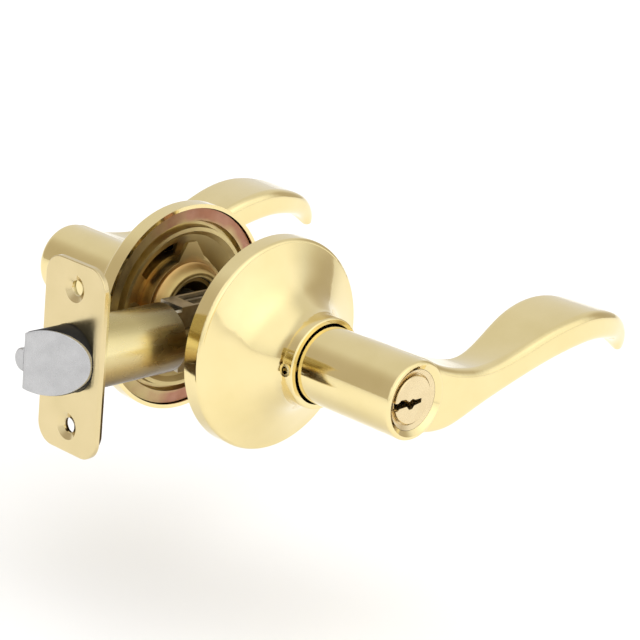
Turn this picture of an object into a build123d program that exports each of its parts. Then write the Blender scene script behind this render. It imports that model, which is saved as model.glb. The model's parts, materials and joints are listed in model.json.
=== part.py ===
from build123d import *
import math
import os

# Keyed lever lockset for a 35 mm door, all lengths in millimetres.
# The origin is where the spindle axis (Y) meets the latch axis (X), half way through the door.
# -Y is the outside with the key, +Y the inside with the turn button, -X the door's edge.
# Parts that both sides share are drawn on the inside (+Y) and mirrored for the outside.

# Door preparation and trim
DOOR = 35.0
FACE = DOOR / 2
BACKSET = 60.33
TRAVEL = 12.7
ROSETTE_R = 32.5
RIM_FRONT = 22.2
NECK_R = 13.9
NECK_END = 42.4
SHEET = 1.2

# Levers
HUB_R = 11.8
HUB_START = 37.0
OUTSIDE_HUB_END = 78.2
OUTSIDE_ARM_FRONT = 77.4
INSIDE_HUB_END = 74.6
INSIDE_TILT = 2.4
CATCH_Y = 39.9

# Sleeves, spring cages and spindle
SLEEVE_R = 10.0
SLEEVE_WALL = 1.1
SLEEVE_START = 15.2
SLEEVE_END = 49.0
CAGE_R = 15.6
CAGE_WALL = 1.1
CAGE_FLOOR = 26.0
SPINDLE_R = 5.5
SPINDLE_END = 33.0
RUNNING_FIT = 0.05
CLEARANCE = 0.3

# Key cylinder
CYLINDER_R = 9.0
CYLINDER_FRONT = 77.0
CYLINDER_BACK = 52.4
PLUG_R = 6.35
PLUG_HEAD_R = 7.2
PLUG_FRONT = 77.1
PLUG_GAP = 0.45
BIBLE_END = 13.4
BIBLE_WIDTH = 6.4
PIN_R = 1.45
PIN_PITCH = 3.81
PIN_COUNT = 5
FIRST_PIN = 70.6

# Latch
PLATE_WIDTH = 25.4
PLATE_HEIGHT = 57.15
PLATE_CORNER = 6.35
PLATE_SHEET = 1.6
BACKING_WIDTH = 24.6
BACKING_HEIGHT = 52.6
BACKING_CORNER = 6.0
SCREW_SPACING = 41.28
COUNTERSINK = 1.0
TUBE_R = 10.4
TUBE_WALL = 0.5
TUBE_END = -25.0
SEAT_START = -29.0
SEAT_THICK = 1.2
BOLT_R = 9.85
BOLT_FLAT = 5.2
BOLT_TAIL = -50.0
BOLT_SKIN = 0.8
PLUNGER_TAIL = -53.0
SHELF_END = -35.6
CASE_START = -22.6
CASE_HALF = 4.7
CASE_WALL = 1.0
CASE_HEIGHT = 10.1
CASE_END = 23.5
POST_X = 19.5
POST_R = 3.3
PAD_R = 3.8
PAD_FRONT = 20.0
PAD_BACK = 21.6


# ---------------------------------------------------------------- shared shapes
def cyl_y(radius, start, end, x=0.0, z=0.0):
    """A round bar along Y."""
    bar = Cylinder(radius, end - start, rotation=(90, 0, 0))
    return Pos(x, (start + end) / 2, z) * bar


def cyl_x(radius, start, end, y=0.0, z=0.0):
    """A round bar along X."""
    bar = Cylinder(radius, end - start, rotation=(0, 90, 0))
    return Pos((start + end) / 2, y, z) * bar


def block(x0, x1, y0, y1, z0, z1):
    """A box between two corners."""
    box = Box(x1 - x0, y1 - y0, z1 - z0)
    return Pos((x0 + x1) / 2, (y0 + y1) / 2, (z0 + z1) / 2) * box


def turned(edges):
    """A solid turned about the spindle axis, from a closed outline of radius and distance."""
    return revolve(make_face(edges), axis=Axis.Y)


def turned_points(points):
    """The same, from the corner points of a straight-sided outline."""
    return turned(Polyline(*points, close=True))


def coil(radius, wire, length, turns):
    """A coil spring about Z, standing on the XY plane."""
    path = Helix(pitch=length / turns, height=length, radius=radius)
    section = Plane(origin=path @ 0, z_dir=path % 0) * Circle(wire)
    return sweep(section, path=path)


def outside(part):
    """The outside copy of a part drawn on the inside."""
    return mirror(part, about=Plane.XZ)


def moved_apart(part, offsets):
    """Copies of one part, kept as separate solids."""
    return Compound(children=[Pos(*offset) * part for offset in offsets])


# ---------------------------------------------------------------- rosettes and plates
def rosette_shell():
    """The bell-shaped cover: straight rim, shallow bell and a straight neck round the hub."""
    bore = HUB_R + 0.5
    rim_inner = ROSETTE_R - SHEET
    edge = 1.1
    face = Spline(
        (ROSETTE_R - edge, RIM_FRONT + edge), (24.5, 26.3), (18.6, 30.0), (15.3, 34.0), (NECK_R, 38.6),
        tangents=[(-1, 0.34), (0, 1)],
    )
    back = Spline(
        (bore, 38.4), (14.3, 32.9), (18.0, 28.9), (24.0, 25.1), (rim_inner, RIM_FRONT - 0.1),
        tangents=[(0, -1), (1, -0.36)],
    )
    lip = 0.5
    outline = [
        Line((rim_inner, FACE), (ROSETTE_R, FACE)),
        Line((ROSETTE_R, FACE), (ROSETTE_R, RIM_FRONT)),
        SagittaArc((ROSETTE_R, RIM_FRONT), (ROSETTE_R - edge, RIM_FRONT + edge), -0.3),
        face,
        Line((NECK_R, 38.6), (NECK_R, NECK_END - lip)),
        SagittaArc((NECK_R, NECK_END - lip), (NECK_R - lip, NECK_END), -0.14),
        Line((NECK_R - lip, NECK_END), (bore, NECK_END)),
        Line((bore, NECK_END), (bore, 38.4)),
        back,
        Line((rim_inner, RIM_FRONT - 0.1), (rim_inner, FACE)),
    ]
    return turned(outline)


def outside_rosette():
    """The outside cover has an eyelet for the pin that frees the lever."""
    eyelet = cyl_x(2.0, -NECK_R - 0.3, -NECK_R + 0.8, y=CATCH_Y)
    hole = cyl_x(1.15, -NECK_R - 2, -HUB_R, y=CATCH_Y)
    return outside(rosette_shell() + eyelet - hole)


def mounting_plate():
    """A dished steel plate: flat outer ring, groove, raised ring and a cone down to the cage."""
    front = [(31.0, 18.5), (27.2, 18.5), (26.6, 20.6), (25.6, 20.6), (25.2, 17.8), (24.0, 17.8), (22.6, 19.4)]
    cone = [(17.2, 21.6), (CAGE_R + 0.05, 21.6)]
    back = [(CAGE_R + 0.05, 22.8), (17.6, 22.8), (23.4, 20.5), (24.4, 19.0), (24.7, 21.8), (27.5, 21.8)]
    plate = turned_points(front + cone + back + [(28.1, 19.7), (31.0, 19.7)])
    for x in (-POST_X, POST_X):
        plate -= cyl_y(PAD_R, 15.0, 25.0, x=x)
        plate += cyl_y(PAD_R + 0.05, PAD_FRONT, PAD_BACK, x=x)
        plate -= cyl_y(2.2, 15.0, 25.0, x=x)
    slot = turned_points([(16.4, 16.0), (20.6, 16.0), (20.6, 25.0), (16.4, 25.0)])
    wedge = extrude(Plane.XZ * make_face(Polyline((0, 0), (-4, 30), (-30, 22), close=True)), 40, both=True)
    return plate - (slot & wedge)


def spring_cage():
    """The cup that holds the lever's return spring, with an ear folded out over the plate."""
    inner = CAGE_R - CAGE_WALL
    bore = SLEEVE_R + RUNNING_FIT
    outline = [(CAGE_R, 17.2), (CAGE_R, CAGE_FLOOR + 1.2), (bore, CAGE_FLOOR + 1.2)]
    outline += [(bore, CAGE_FLOOR), (inner, CAGE_FLOOR), (inner, 17.2)]
    cup = turned_points(outline)
    ear_shape = make_face(Polyline((-4.6, 15.0), (6.4, 14.6), (2.4, 20.8), (-1.2, 20.8), close=True))
    ear = extrude(Plane(origin=(0, 17.2, 0), x_dir=(1, 0, 0), z_dir=(0, -1, 0)) * ear_shape, -1.2)
    return cup + (ear - cyl_y(inner, 10, 30))


def spring_cover():
    """The domed ring that closes the cage towards the latch."""
    rim = CAGE_R - CAGE_WALL - 0.05
    bore = SLEEVE_R + CLEARANCE
    outline = [
        Line((rim, 18.2), (rim, 17.0)),
        Spline((rim, 17.0), (13.2, 14.9), (12.0, 13.4), (11.0, 13.5), (bore, 14.8)),
        Line((bore, 14.8), (bore + 0.9, 15.2)),
        Spline((bore + 0.9, 15.2), (11.9, 14.7), (12.8, 16.3), (rim - 0.9, 18.2)),
        Line((rim - 0.9, 18.2), (rim, 18.2)),
    ]
    return turned(outline)


def return_spring():
    """The torsion spring that lifts the lever back to level."""
    return Pos(0, 24.0, 0) * Rot(90, 0, 0) * Pos(0, 0, 0.7) * coil(13.4, 0.6, 3.9, 2.75)


def lever_sleeve():
    """The tube that turns in the cage, carries the lever and holds its catch."""
    bore = SLEEVE_R - SLEEVE_WALL
    tube = cyl_y(SLEEVE_R, SLEEVE_START, SLEEVE_END) + cyl_y(12.2, 24.4, CAGE_FLOOR - 0.4)
    return tube - cyl_y(bore, 0, 60) - cyl_x(1.7, -20, 0, y=CATCH_Y)


def drive_collar():
    """The ring that keys a sleeve to the spindle."""
    ring = cyl_y(SLEEVE_R - SLEEVE_WALL - 0.02, 29.0, SPINDLE_END)
    return ring - spindle_shape(SPINDLE_R + RUNNING_FIT, 0, 60)


def spindle_shape(radius, start, end):
    """A round bar with a flat below, so that what it fits turns with it."""
    return cyl_y(radius, start, end) & block(-radius, radius, start, end, -0.8 * radius, radius)


def drive_spindle():
    """The hollow D spindle that runs through the latch from lever to lever."""
    return spindle_shape(SPINDLE_R, -SPINDLE_END, SPINDLE_END) - cyl_y(SPINDLE_R - 1.3, -50, 50)


def lever_catch():
    """The sprung pin that locks a lever on its sleeve."""
    pin = cyl_x(1.4, -11.4, -7.7, y=CATCH_Y)
    leaf = block(-8.0, -7.3, CATCH_Y - 2, SLEEVE_END - 2, -1.6, 1.6)
    return pin + leaf


# ---------------------------------------------------------------- levers
def arm_section(x, centre, slope, height, rise, outer, inner):
    """One cross-section of the arm, square to its centre line; rise lifts the edge by the door."""
    half = height / 2
    corners = [(outer, -half), (outer, half), (inner, half + rise), (inner, -half + 0.8 * rise + 0.6)]
    radius = min(2.6, 0.42 * height, 0.42 * (outer - inner))
    plane = Plane(origin=(x, 0, centre), x_dir=(0, 1, 0), z_dir=(math.cos(slope), 0, math.sin(slope)))
    return plane * make_face(FilletPolyline(*corners, radius=radius, close=True))


def lever_arm(hub_end):
    """The wave-shaped arm: it dips from the hub, rises to a crest and curls down at the tip."""
    # distance along X, centre height, slope in degrees, height, rise, outer and inner edge from hub end
    stations = [
        (2.0, -0.2, 0, 22.6, 0.0, 0.3, 27.0),
        (9.8, -1.8, 0, 21.0, -0.1, -0.1, 26.6),
        (15.4, -2.7, 1, 18.6, -0.4, -0.7, 24.8),
        (21.1, -2.4, 1, 15.6, -1.2, -1.1, 19.8),
        (28.8, -1.3, 5, 12.1, -2.0, -1.2, 15.4),
        (38.4, 0.7, 12, 10.0, -1.8, -1.4, 15.3),
        (48.0, 3.4, 14, 9.5, -0.6, -2.0, 16.9),
        (57.5, 6.3, 11, 9.8, 0.6, -2.8, 18.2),
        (67.1, 8.4, 6, 9.9, 0.8, -3.4, 18.7),
        (76.7, 9.0, 1, 9.5, 0.3, -3.2, 18.2),
        (84.3, 7.9, -7, 8.8, -0.3, -2.3, 16.9),
        (91.0, 5.9, -16, 8.0, -0.6, -0.8, 15.0),
        (95.8, 3.6, -28, 7.1, -0.6, 0.9, 13.2),
        (99.7, 0.7, -40, 6.0, -0.4, 2.6, 11.4),
        (102.1, -2.4, -55, 4.7, 0.0, 4.2, 9.8),
        (103.3, -5.0, -68, 2.8, 0.2, 5.6, 8.6),
    ]
    sections = []
    for x, centre, slope, height, rise, outer, inner in stations:
        edges = (hub_end - outer, hub_end - inner)
        sections.append(arm_section(x, centre, math.radians(slope), height, rise, *edges))
    return loft(sections)


def lever_hub(hub_end, edge):
    """The round hub with its rounded end."""
    outline = [
        Line((0, HUB_START), (HUB_R - 0.1, HUB_START)),
        Line((HUB_R - 0.1, HUB_START), (HUB_R, hub_end - edge)),
        RadiusArc((HUB_R, hub_end - edge), (HUB_R - edge, hub_end), -edge),
        Line((HUB_R - edge, hub_end), (0, hub_end)),
        Line((0, hub_end), (0, HUB_START)),
    ]
    return turned(outline)


def end_bevel(inner, outer, back, front):
    """The cone cut round a bore at the end of a lever or cylinder, on the inside (+Y)."""
    return turned_points([(0, back), (inner, back), (outer, front), (outer, front + 3), (0, front + 3)])


def catch_hole():
    """The hole in the hub that the catch springs into."""
    return cyl_x(1.7, -20, 0, y=CATCH_Y)


def outside_lever():
    """The outside lever, bored for the key cylinder and its pin chamber."""
    lever = lever_hub(OUTSIDE_HUB_END, 1.0) + lever_arm(OUTSIDE_ARM_FRONT)
    lever -= cyl_y(SLEEVE_R + 0.02, 0, SLEEVE_END + 0.5)
    lever -= cyl_y(CYLINDER_R + 0.1, 0, 100)
    lever -= end_bevel(CYLINDER_R + 0.1, HUB_R - 1.2, CYLINDER_FRONT, OUTSIDE_HUB_END)
    half = BIBLE_WIDTH / 2 + 0.1
    lever -= block(0, BIBLE_END + 0.1, 40, CYLINDER_FRONT - 1.1, -half, half)
    return outside(lever - catch_hole())


def inside_lever():
    """The inside lever, bored for the turn button."""
    arm = Rot(0, -INSIDE_TILT, 0) * lever_arm(INSIDE_HUB_END)
    lever = lever_hub(INSIDE_HUB_END, 2.6) + arm
    lever -= cyl_y(SLEEVE_R + 0.02, 0, SLEEVE_END + 0.5)
    lever -= cyl_y(4.6, 0, 100)
    return lever - cyl_y(6.6, INSIDE_HUB_END - 1.4, 100) - catch_hole()


# ---------------------------------------------------------------- key cylinder and lock blade
def pin_places():
    """The centre of each pin chamber along the cylinder."""
    return [-(FIRST_PIN - PIN_PITCH * number) for number in range(PIN_COUNT)]


def cylinder_body():
    """The fixed part of the key cylinder with its pin chamber."""
    body = cyl_y(CYLINDER_R, -CYLINDER_FRONT, -CYLINDER_BACK)
    half = BIBLE_WIDTH / 2
    body += block(0, BIBLE_END, -CYLINDER_FRONT + 1.2, -CYLINDER_BACK, -half, half)
    body -= cyl_y(PLUG_R + RUNNING_FIT, -100, 0)
    body -= cyl_y(PLUG_HEAD_R + PLUG_GAP, -100, -CYLINDER_FRONT + 1.5)
    body -= outside(end_bevel(PLUG_HEAD_R + PLUG_GAP, CYLINDER_R, CYLINDER_FRONT - 0.6, CYLINDER_FRONT))
    for place in pin_places():
        body -= cyl_x(PIN_R + RUNNING_FIT, 0, BIBLE_END - 0.8, y=place)
    return body


def keyway():
    """The warded slot for the key, open at the latch side of the plug."""
    outline = Polyline(
        (-9.0, -2.2), (-6.4, -2.2), (-5.6, -1.6), (-2.6, -1.5), (-1.5, -2.6), (-0.2, -2.6), (0.6, -1.7),
        (3.4, -1.3), (3.4, 0.0), (0.8, 0.0), (-0.4, 0.5), (-1.7, -0.2), (-3.3, 0.8), (-5.2, 0.9),
        (-6.2, 0.2), (-9.0, 0.2), close=True,
    )
    face = Plane(origin=(0, -80, 0), x_dir=(1, 0, 0), z_dir=(0, -1, 0)) * make_face(outline)
    return extrude(face, -27.5)


def cylinder_plug():
    """The turning plug, with its keyway and its half of the pin chambers."""
    back, edge = CYLINDER_FRONT - 1.2, 0.25
    head = [(0, back), (PLUG_HEAD_R, back), (PLUG_HEAD_R, PLUG_FRONT - edge), (PLUG_HEAD_R - edge, PLUG_FRONT)]
    plug = cyl_y(PLUG_R, -back, -CYLINDER_BACK + 1.8) + outside(turned_points(head + [(0, PLUG_FRONT)]))
    plug -= cyl_y(PLUG_R + 1, -CYLINDER_BACK + 0.3, -CYLINDER_BACK + 1.2) - cyl_y(PLUG_R - 0.7, -60, 0)
    plug -= keyway()
    for place in pin_places():
        plug -= cyl_x(PIN_R + RUNNING_FIT, 1.0, 12, y=place)
    return plug - block(-3.1, 3.1, -51.5, 0, -0.85, 0.85)


def key_pins():
    """The pins in the plug, lifted to the shear line."""
    pin = cyl_x(PIN_R, 1.4, PLUG_R - 0.2)
    return moved_apart(pin, [(0, place, 0) for place in pin_places()])


def driver_pins():
    """The pins in the body above the shear line."""
    pin = cyl_x(PIN_R, PLUG_R + 0.15, 9.6)
    return moved_apart(pin, [(0, place, 0) for place in pin_places()])


def pin_springs():
    """The springs over the driver pins, drawn as thin sleeves."""
    spring = cyl_x(PIN_R - 0.1, 9.7, BIBLE_END - 0.9) - cyl_x(PIN_R - 0.45, 9, BIBLE_END)
    return moved_apart(spring, [(0, place, 0) for place in pin_places()])


def plug_clip():
    """The open ring that keeps the plug in the cylinder."""
    ring = cyl_y(PLUG_R + 0.9, -CYLINDER_BACK + 0.35, -CYLINDER_BACK + 1.15) - cyl_y(PLUG_R - 0.65, -60, 0)
    return ring - block(-10, 0, -60, 0, -3.6, 3.6)


def lock_blade():
    """The flat bar that carries the plug's turn through the spindle to the button."""
    return block(-3.0, 3.0, -51.2, 62.0, -0.8, 0.8)


def turn_button():
    """The inside turn button with its stem and thumb bar."""
    stem = cyl_y(4.3, SLEEVE_END - 1.6, INSIDE_HUB_END - 1.0)
    stem -= cyl_y(5.0, SLEEVE_END - 0.8, SLEEVE_END + 0.2) - cyl_y(3.6, 0, 60)
    head = cyl_y(6.3, INSIDE_HUB_END - 1.0, INSIDE_HUB_END + 0.6)
    bar = block(-4.8, 4.8, INSIDE_HUB_END, INSIDE_HUB_END + 4.2, -1.5, 1.5)
    bar = fillet(bar.edges().filter_by(Axis.Y), 1.2)
    slot = block(-3.05, 3.05, 40, 62.3, -0.85, 0.85)
    return stem + head + bar - slot


def button_washer():
    """The spring washer that keeps the button in the inside lever."""
    return cyl_y(5.8, SLEEVE_END - 0.7, SLEEVE_END + 0.1) - cyl_y(3.65, 0, 60)


# ---------------------------------------------------------------- latch
def edge_plate(width, height, corner, front, thick):
    """A rounded plate on the door's edge, from its front face backwards."""
    face = Plane(origin=(front, 0, 0), x_dir=(0, 1, 0), z_dir=(1, 0, 0)) * RectangleRounded(width, height, corner)
    return extrude(face, thick)


def faceplate():
    """The plate on the door's edge with its countersunk screw holes."""
    plate = edge_plate(PLATE_WIDTH, PLATE_HEIGHT, PLATE_CORNER, -BACKSET, PLATE_SHEET)
    plate = fillet(plate.faces().sort_by(Axis.X)[0].edges(), 0.35)
    plate -= cyl_x(BOLT_R + 0.15, -70, 0)
    for z in (-SCREW_SPACING / 2, SCREW_SPACING / 2):
        plate -= Pos(-BACKSET + COUNTERSINK / 2, 0, z) * Rot(0, 90, 0) * Cone(4.1, 2.3, COUNTERSINK)
        plate -= cyl_x(2.3, -70, -50, z=z)
    return plate


def backing_plate():
    """The plain plate behind the faceplate, with the tube fixed in it."""
    front = -BACKSET + PLATE_SHEET
    plate = edge_plate(BACKING_WIDTH, BACKING_HEIGHT, BACKING_CORNER, front, SHEET)
    plate -= cyl_x(TUBE_R + 0.02, -70, 0)
    for z in (-SCREW_SPACING / 2, SCREW_SPACING / 2):
        plate -= cyl_x(2.6, -70, -50, z=z)
    return plate


def latch_tube():
    """The round tube that guides the bolt."""
    return cyl_x(TUBE_R, -BACKSET + PLATE_SHEET, TUBE_END) - cyl_x(TUBE_R - TUBE_WALL, -80, 0)


def spring_seat():
    """The disc fixed in the tube that the bolt spring pushes against, cut out for the parts that slide past it."""
    disc = cyl_x(TUBE_R - TUBE_WALL - 0.02, SEAT_START, SEAT_START + SEAT_THICK)
    disc -= block(-30, -20, 4.8, 12, -3.7, 3.7)
    for low, high in ((-12, -7.4), (7.4, 12)):
        disc -= block(-30, -20, 1.5, 3.5, low, high)
    return disc


def latch_case():
    """The folded steel case round the cam: two walls joined above and below, with tongues in the tube."""
    start = SEAT_START + SEAT_THICK + RUNNING_FIT
    case = block(CASE_START, CASE_END, -CASE_HALF, CASE_HALF, -CASE_HEIGHT, CASE_HEIGHT)
    case += cyl_x(TUBE_R - TUBE_WALL - 0.02, start, CASE_START) & block(start, 0, -CASE_HALF, CASE_HALF, -12, 12)
    inner = CASE_HALF - CASE_WALL
    case -= block(start - 1, CASE_END + 1, -inner, inner, -CASE_HEIGHT - 1, CASE_HEIGHT + 1)
    for low, high in ((-CASE_HEIGHT, -CASE_HEIGHT + CASE_WALL), (CASE_HEIGHT - CASE_WALL, CASE_HEIGHT)):
        case += block(CASE_START, CASE_START + 5.4, -CASE_HALF, CASE_HALF, low, high)
        case += block(CASE_END - 3, CASE_END, -CASE_HALF, CASE_HALF, low, high)
    for x in (-POST_X, POST_X):
        case -= cyl_y(POST_R + CLEARANCE, -20, 20, x=x)
    return case - cyl_y(6.6 + RUNNING_FIT, -20, 20)


def retractor_cam():
    """The cam in the case: it turns with the spindle and its fingers pull the bolt back."""
    cam = cyl_y(7.2, -3.3, 3.3) + cyl_y(6.6, -5.3, 5.3)
    cam += block(-1.2, 1.2, -1.5, 1.5, -8.7, 8.7)
    return cam - spindle_shape(SPINDLE_R + RUNNING_FIT, -20, 20)


def bolt_prism(offset):
    """The space behind the bolt's bevel, moved back from its face by an offset."""
    shift = offset / math.sin(math.atan2(BOLT_R + BOLT_FLAT, TRAVEL))
    tip = -BACKSET - TRAVEL + shift
    outline = Polyline(
        (tip, BOLT_FLAT), (tip, BOLT_FLAT - 0.9), (tip + TRAVEL, -BOLT_R - 0.9), (0, -BOLT_R - 0.9),
        (0, BOLT_FLAT), close=True,
    )
    return extrude(make_face(outline), 12, both=True)


def bolt_head():
    """The bright bevelled face of the bolt, with a rounded edge."""
    cap = (cyl_x(BOLT_R - 0.15, -80, -50) & bolt_prism(0)) - bolt_prism(BOLT_SKIN)
    bevel = max(cap.faces(), key=lambda face: abs(face.normal_at().X) * face.area * (face.center().Y < 0))
    return fillet(bevel.edges().filter_by(GeomType.ELLIPSE), 0.45)


def bolt_core():
    """The dark body of the bolt, D-shaped to leave room for the plunger."""
    return cyl_x(BOLT_R, -80, BOLT_TAIL) & bolt_prism(BOLT_SKIN)


def bolt_drawbar():
    """The fork that joins the bolt to the cam, with a shelf that the plunger spring pushes against."""
    bar = block(BOLT_TAIL, BOLT_TAIL + 3, -3.1, 3.1, -8.9, 8.9)
    for side in (-1, 1):
        low, high = sorted((side * 7.9, side * 8.9))
        bar += block(BOLT_TAIL, 3.0, 1.9, 3.1, low, high)
        bar += block(1.6, 3.0, -1.6, 3.1, low, high)
    bar += block(BOLT_TAIL, BOLT_TAIL + 3, 3.0, 5.4, -1.5, 1.5)
    bar += block(BOLT_TAIL, SHELF_END, 4.9, 5.4, -1.5, 1.5)
    return bar + block(SHELF_END - 1, SHELF_END, 4.9, 8.9, -1.5, 1.5)


def bolt_spring():
    """The spring that throws the bolt."""
    wire = 0.45
    start = BOLT_TAIL + 3 + wire + RUNNING_FIT
    length = SEAT_START - RUNNING_FIT - wire - start
    return Pos(start, 0, 0) * Rot(0, 90, 0) * coil(4.2, wire, length, 5)


def deadlatch_plunger():
    """The small half-round bar beside the bolt that stops it being pushed back."""
    flat = BOLT_FLAT + 0.35
    bar = cyl_x(3.4, -BACKSET - TRAVEL, PLUNGER_TAIL, y=flat + 0.45) & block(-80, -40, flat, 12, -4, 4)
    return fillet(bar.faces().sort_by(Axis.X)[0].edges(), 0.5)


def plunger_spring():
    """The spring behind the plunger."""
    wire = 0.25
    start = PLUNGER_TAIL + wire + RUNNING_FIT
    length = SHELF_END - 1 - RUNNING_FIT - wire - start
    return Pos(start, 7.2, 0) * Rot(0, 90, 0) * coil(1.3, wire, length, 7)


# ---------------------------------------------------------------- fixings
def mounting_posts():
    """The threaded posts of the outside plate."""
    post = cyl_y(POST_R, -PAD_FRONT, 14.0) - cyl_y(2.05, -10.0, 20)
    return moved_apart(post, [(-POST_X, 0, 0), (POST_X, 0, 0)])


def mounting_screws():
    """The screws that clamp both sides to the door."""
    head = PAD_BACK + RUNNING_FIT
    screw = cyl_y(2.0, -6.0, head) + cyl_y(3.6, head, head + 1.6)
    screw -= block(-0.6, 0.6, head + 0.9, 24, -4, 4)
    return moved_apart(screw, [(-POST_X, 0, 0), (POST_X, 0, 0)])


def all_parts():
    """Every sub-part under its node's name."""
    return {
        "outside_rosette": outside_rosette(),
        "outside_mounting_plate": outside(mounting_plate()),
        "outside_spring_cage": outside(spring_cage()),
        "outside_spring_cover": outside(spring_cover()),
        "outside_return_spring": outside(return_spring()),
        "outside_sleeve": outside(lever_sleeve()),
        "outside_drive_collar": outside(drive_collar()),
        "outside_lever": outside_lever(),
        "outside_catch": outside(lever_catch()),
        "cylinder_body": cylinder_body(),
        "cylinder_plug": cylinder_plug(),
        "key_pins": key_pins(),
        "driver_pins": driver_pins(),
        "pin_springs": pin_springs(),
        "plug_clip": plug_clip(),
        "lock_blade": lock_blade(),
        "drive_spindle": drive_spindle(),
        "mounting_posts": mounting_posts(),
        "faceplate": faceplate(),
        "backing_plate": backing_plate(),
        "latch_tube": latch_tube(),
        "spring_seat": spring_seat(),
        "latch_case": latch_case(),
        "retractor_cam": retractor_cam(),
        "bolt_head": bolt_head(),
        "bolt_core": bolt_core(),
        "bolt_drawbar": bolt_drawbar(),
        "bolt_spring": bolt_spring(),
        "deadlatch_plunger": deadlatch_plunger(),
        "plunger_spring": plunger_spring(),
        "inside_rosette": rosette_shell(),
        "inside_mounting_plate": mounting_plate(),
        "inside_spring_cage": spring_cage(),
        "inside_spring_cover": spring_cover(),
        "inside_return_spring": return_spring(),
        "inside_sleeve": lever_sleeve(),
        "inside_drive_collar": drive_collar(),
        "inside_lever": inside_lever(),
        "inside_catch": lever_catch(),
        "turn_button": turn_button(),
        "button_washer": button_washer(),
        "mounting_screws": mounting_screws(),
    }


os.makedirs("parts", exist_ok=True)
for name, part in all_parts().items():
    export_step(part, f"parts/{name}.step")
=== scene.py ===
import json
import math

import bpy
from mathutils import Matrix, Vector

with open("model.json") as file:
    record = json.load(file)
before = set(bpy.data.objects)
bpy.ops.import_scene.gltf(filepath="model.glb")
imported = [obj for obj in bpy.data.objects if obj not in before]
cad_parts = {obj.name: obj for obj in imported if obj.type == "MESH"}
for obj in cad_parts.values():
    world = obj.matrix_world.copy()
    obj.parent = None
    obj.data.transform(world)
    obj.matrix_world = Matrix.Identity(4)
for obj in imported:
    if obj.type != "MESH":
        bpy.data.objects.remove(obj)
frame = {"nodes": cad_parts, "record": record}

# The frame is in metres. The spindle axis is Y, with the outside at -Y; the latch axis is X, with the door's
# edge at -X.
MM = 0.001

# Camera: degrees, metres and a lens in millimetres
CAMERA_AZIMUTH = -47.31
CAMERA_ELEVATION = 18.08
CAMERA_ROLL = -5.45
CAMERA_DISTANCE = 709.6 * MM
CAMERA_RIGHT = 28.67 * MM
CAMERA_UP = 0.94 * MM
CAMERA_LENS = 132.52
CAMERA_NEAR = 0.05
CAMERA_FAR = 20

# Floor: low enough for the levers to swing down over it
FLOOR_HEIGHT = -88 * MM
FLOOR_SIZE = 30.0

# Edge rounding in millimetres, by node; it rounds edges that turn by more than the angle, after a weld
EDGES = {
    "bolt_core": 0.3,
    "latch_case": 0.15,
    "backing_plate": 0.15,
    "inside_spring_cage": 0.15,
    "outside_spring_cage": 0.15,
    "mounting_posts": 0.2,
    "mounting_screws": 0.2,
    "turn_button": 0.2,
    "cylinder_plug": 0.1,
    "latch_tube": 0.12,
}
EDGE_SEGMENTS = 3
EDGE_ANGLE = math.radians(35)
EDGE_WELD = 0.001 * MM

# Where the zinc's colours change, in millimetres: painted shade and highlight up the tube, painted shade
# along it, and rings out and rose across the plates
TUBE_PAINTED_LIGHT = (-9.0, 9.0)
TUBE_PAINTED_SHADE = (-41.0, -27.0)
PLATE_RINGS = (8.0, 32.0)
PLATE_ROSE = (-17.0, -2.0)

# Room light, with its level and colour where it is dim and where it is full
ROOM_LIGHT = 0.80
DIM_LEVEL = 0.2
FULL_LEVEL = 0.85
DIM_COLOUR = (1.0, 0.78, 0.50)
FULL_COLOUR = (1.0, 1.0, 1.0)

# Patches of more or less room light: direction, reach in degrees, change at the middle
PATCHES = [
    ((-0.6, -0.6, 0.9), 70, 0.40),
    ((0.3, -1.0, 0.25), 60, 0.42),
    ((1.0, -0.2, 0.1), 40, -0.25),
    ((-1.0, 0.9, 0.3), 50, -0.22),
]

# Overhead light, in metres and watts
OVERHEAD_PLACE = (0.1, -0.3, 1.4)
OVERHEAD_SIZE = 1.6
OVERHEAD_POWER = 9


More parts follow.
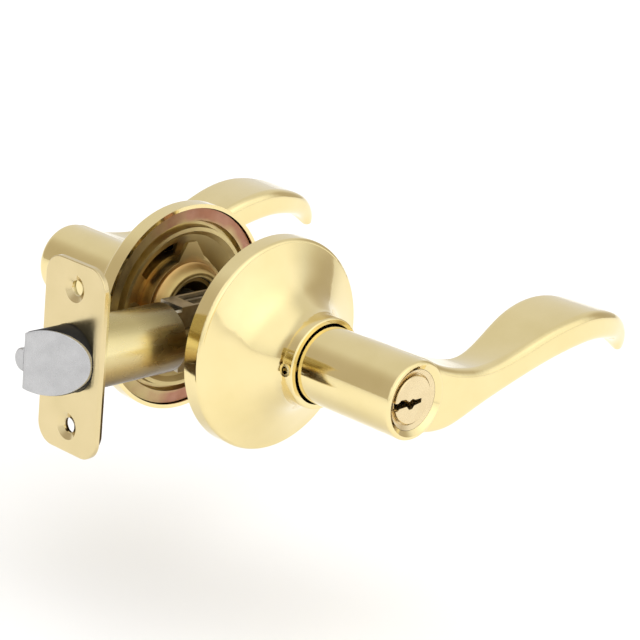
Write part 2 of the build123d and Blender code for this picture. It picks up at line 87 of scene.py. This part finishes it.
# ---------------------------------------------------------------- shader helpers
class Shader:
    """A node material under construction, with its Principled shader as `bsdf`."""

    def __init__(self, name, **settings):
        self.material = bpy.data.materials.new(name)
        self.material.use_nodes = True
        self.tree = self.material.node_tree
        self.bsdf = self.tree.nodes["Principled BSDF"]
        for socket, value in settings.items():
            self.bsdf.inputs[socket.replace("_", " ")].default_value = value
        self.place = self.add("ShaderNodeTexCoord").outputs["Object"]

    def add(self, kind, **inputs):
        """A new node, with its inputs linked to sockets or set to values."""
        node = self.tree.nodes.new(kind)
        for name, value in inputs.items():
            self.feed(node.inputs[name.replace("_", " ")], value)
        return node

    def feed(self, socket, value):
        """Links a socket to another one, or sets it to a value."""
        if isinstance(value, bpy.types.NodeSocket):
            self.tree.links.new(value, socket)
        else:
            socket.default_value = value

    def drive(self, name, value):
        """Drives one input of the Principled shader."""
        self.feed(self.bsdf.inputs[name], value)

    def stretched(self, x, y, z):
        """Object coordinates in units of the given lengths in millimetres."""
        mapping = self.add("ShaderNodeMapping", Vector=self.place)
        mapping.inputs["Scale"].default_value = (1 / (x * MM), 1 / (y * MM), 1 / (z * MM))
        return mapping.outputs["Vector"]

    def noise(self, x, y=None, z=None, detail=3.0, roughness=0.5):
        """Noise whose features are about this many millimetres across."""
        vector = self.stretched(x, y or x, z or x)
        node = self.add("ShaderNodeTexNoise", Vector=vector, Scale=1.0, Detail=detail, Roughness=roughness)
        return node.outputs["Fac"]

    def remap(self, value, low, high, start=0.0, end=1.0):
        """A value stretched from one range to another and kept inside it."""
        node = self.add("ShaderNodeMapRange")
        inputs = {"Value": value, "From Min": start, "From Max": end, "To Min": low, "To Max": high}
        for name, number in inputs.items():
            self.feed(node.inputs[name], number)
        return node.outputs["Result"]

    def ramp(self, value, *stops):
        """Colours along a value, from (position, colour) stops."""
        node = self.add("ShaderNodeValToRGB", Fac=value)
        elements = node.color_ramp.elements
        while len(elements) < len(stops):
            elements.new(0.5)
        for element, (position, colour) in zip(elements, stops):
            element.position = position
            element.color = (*colour, 1.0)
        return node.outputs["Color"]

    def mixed(self, share, first, second):
        """Two colours mixed by a share from 0 to 1."""
        node = self.add("ShaderNodeMix")
        node.data_type = "RGBA"
        self.feed(node.inputs["Factor"], share)
        for socket, value in (("A", first), ("B", second)):
            colour = next(i for i in node.inputs if i.name == socket and i.type == "RGBA")
            self.feed(colour, value)
        return next(o for o in node.outputs if o.type == "RGBA")

    def maths(self, operation, first, second=0.0):
        """The result of one arithmetic operation."""
        node = self.add("ShaderNodeMath")
        node.operation = operation
        self.feed(node.inputs[0], first)
        self.feed(node.inputs[1], second)
        return node.outputs["Value"]

    def bump(self, height, strength, distance):
        """A bump of a height field, with its depth in millimetres."""
        node = self.add("ShaderNodeBump", Height=height, Strength=strength, Distance=distance * MM)
        self.drive("Normal", node.outputs["Normal"])


# ---------------------------------------------------------------- materials
def bright_brass():
    """Polished and lacquered brass: faint cloudiness, wiping marks and a faint ripple."""
    brass = Shader("bright_brass", Metallic=1.0, Coat_Weight=0.35, Coat_Roughness=0.05)
    cloud = brass.noise(14, detail=4)
    brass.drive("Base Color", brass.ramp(cloud, (0.3, (0.83, 0.69, 0.34)), (0.7, (0.88, 0.74, 0.39))))
    wipe = brass.noise(9, 2.5, 2.5, detail=5, roughness=0.65)
    brass.drive("Roughness", brass.remap(wipe, 0.06, 0.13, 0.3, 0.75))
    brass.bump(brass.noise(7, detail=2), 0.08, 0.02)
    return brass.material


def plate_brass():
    """The faceplate's brass: satin, so it mirrors the bolt only softly."""
    brass = Shader("plate_brass", Metallic=1.0, Coat_Weight=0.2, Coat_Roughness=0.12)
    cloud = brass.noise(12, detail=4)
    brass.drive("Base Color", brass.ramp(cloud, (0.3, (0.68, 0.56, 0.30)), (0.7, (0.74, 0.61, 0.34))))
    brass.drive("Roughness", brass.remap(brass.noise(2, 1.2, 5, detail=3), 0.15, 0.22, 0.3, 0.7))
    brass.bump(brass.noise(2, 0.8, 5, detail=2), 0.04, 0.02)
    return brass.material


def cylinder_brass():
    """The key plug: turned brass, pinker and duller than the trim."""
    brass = Shader("cylinder_brass", Metallic=1.0, Coat_Weight=0.2, Coat_Roughness=0.1)
    cloud = brass.noise(5, detail=4)
    brass.drive("Base Color", brass.ramp(cloud, (0.3, (0.74, 0.60, 0.35)), (0.7, (0.80, 0.66, 0.40))))
    brass.drive("Roughness", brass.remap(brass.noise(1.2, detail=4), 0.20, 0.32, 0.3, 0.7))
    brass.bump(brass.noise(0.5, detail=3), 0.1, 0.02)
    return brass.material


def zinc_yellow():
    """Yellow chromate on steel: gold and copper that follow the pressed rings, and rose on the outer one."""
    zinc = Shader("zinc_yellow", Metallic=1.0)
    apart = zinc.add("ShaderNodeSeparateXYZ", Vector=zinc.stretched(1, 1, 1))
    across, up = apart.outputs["X"], apart.outputs["Z"]
    squares = zinc.maths("ADD", zinc.maths("POWER", across, 2.0), zinc.maths("POWER", up, 2.0))
    radius = zinc.maths("SQRT", squares)
    drift = zinc.remap(zinc.noise(13, detail=4), -1.8, 1.8, 0.25, 0.75)
    ring = zinc.remap(zinc.maths("ADD", radius, drift), 0.0, 1.0, *PLATE_RINGS)
    gold = zinc.ramp(
        ring,
        (0.00, (0.36, 0.27, 0.10)),
        (0.18, (0.50, 0.38, 0.15)),
        (0.29, (0.56, 0.35, 0.13)),
        (0.36, (0.42, 0.31, 0.13)),
        (0.60, (0.52, 0.41, 0.19)),
        (0.74, (0.62, 0.51, 0.25)),
        (1.00, (0.42, 0.31, 0.14)),
    )
    wavy = zinc.maths("ADD", across, zinc.maths("MULTIPLY", drift, 5.0))
    away = zinc.remap(wavy, 0.0, 0.9, *PLATE_ROSE)
    outer = zinc.remap(ring, 0.0, 1.0, 0.74, 0.84)
    rose = zinc.ramp(zinc.noise(5, detail=5), (0.35, (0.36, 0.15, 0.10)), (0.65, (0.44, 0.22, 0.16)))
    zinc.drive("Base Color", zinc.mixed(zinc.maths("MULTIPLY", away, outer), gold, rose))
    zinc.drive("Roughness", zinc.remap(zinc.noise(3, detail=5), 0.30, 0.42, 0.3, 0.7))
    zinc.bump(zinc.noise(0.8, detail=3), 0.15, 0.02)
    return zinc.material


def latch_tube_zinc():
    """Satin yellow zinc, with painted shade under the tube and towards its inner end, and a painted highlight
    band along its upper side.
    """
    zinc = Shader("latch_tube_zinc", Metallic=1.0)
    apart = zinc.add("ShaderNodeSeparateXYZ", Vector=zinc.stretched(1, 1, 1))
    drift = zinc.remap(zinc.noise(24, 12, 12, detail=1), -1.0, 1.0, 0.25, 0.75)
    up = zinc.maths("ADD", apart.outputs["Z"], drift)
    # Painted shade and highlight by height up the tube: near-black underneath, a bright stripe on the upper
    # side, a duller top
    painted_light_band = zinc.ramp(
        zinc.remap(up, 0.0, 1.0, *TUBE_PAINTED_LIGHT),
        (0.00, (0.06, 0.035, 0.012)),
        (0.35, (0.44, 0.32, 0.13)),
        (0.70, (0.80, 0.69, 0.37)),
        (1.00, (0.56, 0.46, 0.21)),
    )
    # Painted shade: the tube turns dark brown towards its inner end, between the rosettes
    along = zinc.maths("ADD", apart.outputs["X"], zinc.maths("MULTIPLY", drift, 1.5))
    painted_end_shade = (0.09, 0.06, 0.025, 1.0)
    zinc.drive("Base Color", zinc.mixed(zinc.remap(along, 0.0, 0.75, *TUBE_PAINTED_SHADE), painted_light_band, painted_end_shade))
    zinc.drive("Roughness", zinc.remap(zinc.noise(8, 4, 4, detail=2), 0.24, 0.30, 0.3, 0.7))
    zinc.bump(zinc.noise(6, 3, 3, detail=2), 0.03, 0.02)
    return zinc.material


def zinc_grey():
    """Bare zinc plate: grey with a speckled grain."""
    zinc = Shader("zinc_grey", Metallic=1.0)
    cloud = zinc.noise(4, detail=5, roughness=0.65)
    zinc.drive("Base Color", zinc.ramp(cloud, (0.3, (0.44, 0.39, 0.29)), (0.7, (0.58, 0.52, 0.40))))
    zinc.drive("Roughness", zinc.remap(cloud, 0.32, 0.45, 0.3, 0.7))
    zinc.bump(zinc.noise(0.6, detail=3), 0.1, 0.03)
    return zinc.material


def bolt_nickel():
    """Sintered and nickelled steel: silver with a fine matt grain."""
    nickel = Shader("bolt_nickel", Metallic=1.0)
    cloud = nickel.noise(5, detail=4)
    nickel.drive("Base Color", nickel.ramp(cloud, (0.3, (0.46, 0.46, 0.465)), (0.7, (0.54, 0.54, 0.545))))
    grain = nickel.noise(0.35, detail=3)
    nickel.drive("Roughness", nickel.remap(grain, 0.24, 0.36, 0.3, 0.7))
    nickel.bump(grain, 0.2, 0.02)
    return nickel.material


def black_plastic():
    """Moulded acetal: dark with a soft sheen."""
    plastic = Shader("black_plastic", Specular_IOR_Level=0.22)
    cloud = plastic.noise(6, detail=3)
    black = plastic.ramp(cloud, (0.3, (0.006, 0.0065, 0.008)), (0.7, (0.014, 0.015, 0.018)))
    plastic.drive("Base Color", black)
    plastic.drive("Roughness", plastic.remap(plastic.noise(1, detail=4), 0.30, 0.42, 0.3, 0.7))
    plastic.bump(plastic.noise(0.4, detail=2), 0.1, 0.02)
    return plastic.material


def spring_steel():
    """Drawn spring wire."""
    steel = Shader("spring_steel", Metallic=1.0)
    cloud = steel.noise(2, detail=4)
    steel.drive("Base Color", steel.ramp(cloud, (0.3, (0.36, 0.35, 0.34)), (0.7, (0.52, 0.51, 0.49))))
    steel.drive("Roughness", steel.remap(steel.noise(0.5, detail=3), 0.22, 0.36, 0.3, 0.7))
    return steel.material


FINISHES = {
    "bright_brass": bright_brass,
    "cylinder_brass": cylinder_brass,
    "zinc_yellow": zinc_yellow,
    "latch_tube_zinc": latch_tube_zinc,
    "zinc_grey": zinc_grey,
    "bolt_nickel": bolt_nickel,
    "black_plastic": black_plastic,
    "spring_steel": spring_steel,
}


def paint_nodes():
    """Gives every CAD node the finish of its material slot, and the faceplate its own satin brass."""
    made = {name: make() for name, make in FINISHES.items()}
    for part in frame["record"]["subparts"]:
        mesh = frame["nodes"][part["node"]].data
        mesh.materials.clear()
        mesh.materials.append(made[part["material_slot"]])
    frame["nodes"]["faceplate"].data.materials[0] = plate_brass()


# ---------------------------------------------------------------- edges
def round_edges(name, width):
    """Rounds a CAD node's sharp edges by a width in millimetres, so that they catch the light."""
    node = frame["nodes"][name]
    weld = node.modifiers.new("weld", "WELD")
    weld.merge_threshold = EDGE_WELD
    bevel = node.modifiers.new("edges", "BEVEL")
    bevel.width = width * MM
    bevel.segments = EDGE_SEGMENTS
    bevel.limit_method = "ANGLE"
    bevel.angle_limit = EDGE_ANGLE
    bevel.harden_normals = True


# ---------------------------------------------------------------- stage
def floor_material():
    """Matt white with a trace of unevenness."""
    paint = Shader("floor_white", Roughness=0.9, Specular_IOR_Level=0.1)
    cloud = paint.noise(300, detail=2)
    paint.drive("Base Color", paint.ramp(cloud, (0.0, (0.93, 0.93, 0.93)), (1.0, (0.95, 0.95, 0.95))))
    return paint.material


def make_floor():
    """A square floor."""
    half = FLOOR_SIZE / 2
    mesh = bpy.data.meshes.new("floor")
    corners = [(x * half, y * half, FLOOR_HEIGHT) for x, y in ((-1, -1), (1, -1), (1, 1), (-1, 1))]
    mesh.from_pydata(corners, [], [(0, 1, 2, 3)])
    mesh.materials.append(floor_material())
    floor = bpy.data.objects.new("floor", mesh)
    bpy.context.scene.collection.objects.link(floor)


def patch_of_light(tree, direction, place, reach, change):
    """A change of light that is full at a direction and fades out this many degrees from it."""
    dot = tree.nodes.new("ShaderNodeVectorMath")
    dot.operation = "DOT_PRODUCT"
    tree.links.new(direction, dot.inputs[0])
    dot.inputs[1].default_value = Vector(place).normalized()
    fade = tree.nodes.new("ShaderNodeMapRange")
    fade.interpolation_type = "SMOOTHERSTEP"
    tree.links.new(dot.outputs["Value"], fade.inputs["Value"])
    fade.inputs["From Min"].default_value = math.cos(math.radians(reach))
    fade.inputs["From Max"].default_value = 1.0
    fade.inputs["To Min"].default_value = 0.0
    fade.inputs["To Max"].default_value = change
    return fade.outputs["Result"]


def room_level(tree):
    """How bright the room is in each direction: its even light and all its patches."""
    direction = tree.nodes.new("ShaderNodeTexCoord").outputs["Generated"]
    level = None
    for place, reach, change in PATCHES:
        total = tree.nodes.new("ShaderNodeMath")
        total.operation = "ADD"
        tree.links.new(patch_of_light(tree, direction, place, reach, change), total.inputs[0])
        if level:
            tree.links.new(level, total.inputs[1])
        else:
            total.inputs[1].default_value = ROOM_LIGHT
        level = total.outputs["Value"]
    return level


def room_tint(tree, level):
    """The room's colour at a level: warmer where it is dim."""
    tint = tree.nodes.new("ShaderNodeValToRGB")
    tree.links.new(level, tint.inputs["Fac"])
    stops = ((DIM_LEVEL, DIM_COLOUR), (FULL_LEVEL, FULL_COLOUR))
    for element, (position, colour) in zip(tint.color_ramp.elements, stops):
        element.position = position
        element.color = (*colour, 1.0)
    return tint.outputs["Color"]


def make_world():
    """A room with soft patches of more or less light, and a plain white backdrop where the camera sees it."""
    world = bpy.data.worlds.new("studio")
    bpy.context.scene.world = world
    world.use_nodes = True
    tree = world.node_tree
    room = tree.nodes["Background"]
    level = room_level(tree)
    tree.links.new(room_tint(tree, level), room.inputs["Color"])
    tree.links.new(level, room.inputs["Strength"])
    backdrop = tree.nodes.new("ShaderNodeBackground")
    backdrop.inputs["Color"].default_value = (1, 1, 1, 1)
    seen = tree.nodes.new("ShaderNodeMixShader")
    tree.links.new(tree.nodes.new("ShaderNodeLightPath").outputs["Is Camera Ray"], seen.inputs["Fac"])
    tree.links.new(room.outputs["Background"], seen.inputs[1])
    tree.links.new(backdrop.outputs["Background"], seen.inputs[2])
    tree.links.new(seen.outputs["Shader"], tree.nodes["World Output"].inputs["Surface"])


def make_overhead_light():
    """A large square light above, turned to the middle; it lights the scene but leaves no mirror image."""
    light = bpy.data.lights.new("overhead", "AREA")
    light.shape = "RECTANGLE"
    light.size = light.size_y = OVERHEAD_SIZE
    light.energy = OVERHEAD_POWER
    lamp = bpy.data.objects.new("overhead", light)
    lamp.location = OVERHEAD_PLACE
    lamp.rotation_euler = (-Vector(OVERHEAD_PLACE)).to_track_quat("-Z", "Y").to_euler()
    lamp.visible_glossy = False
    bpy.context.scene.collection.objects.link(lamp)


def make_camera():
    """The photograph's view: its direction and distance, turned by its roll and moved to its framing."""
    azimuth, elevation, roll = (math.radians(a) for a in (CAMERA_AZIMUTH, CAMERA_ELEVATION, CAMERA_ROLL))
    flat = math.cos(elevation)
    back = Vector((math.sin(azimuth) * flat, -math.cos(azimuth) * flat, math.sin(elevation)))
    level = Vector((math.cos(azimuth), math.sin(azimuth), 0))
    upright = back.cross(level)
    right = math.cos(roll) * level - math.sin(roll) * upright
    up = math.sin(roll) * level + math.cos(roll) * upright
    data = bpy.data.cameras.new("camera")
    data.lens = CAMERA_LENS
    data.clip_start = CAMERA_NEAR
    data.clip_end = CAMERA_FAR
    camera = bpy.data.objects.new("camera", data)
    camera.matrix_world = Matrix((right, up, back)).transposed().to_4x4()
    camera.location = back * CAMERA_DISTANCE + right * CAMERA_RIGHT + up * CAMERA_UP
    bpy.context.scene.collection.objects.link(camera)
    bpy.context.scene.camera = camera


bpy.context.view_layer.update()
paint_nodes()
for name, width in EDGES.items():
    round_edges(name, width)
make_floor()
make_world()
make_overhead_light()
make_camera()
bpy.context.scene.view_settings.view_transform = "Standard"
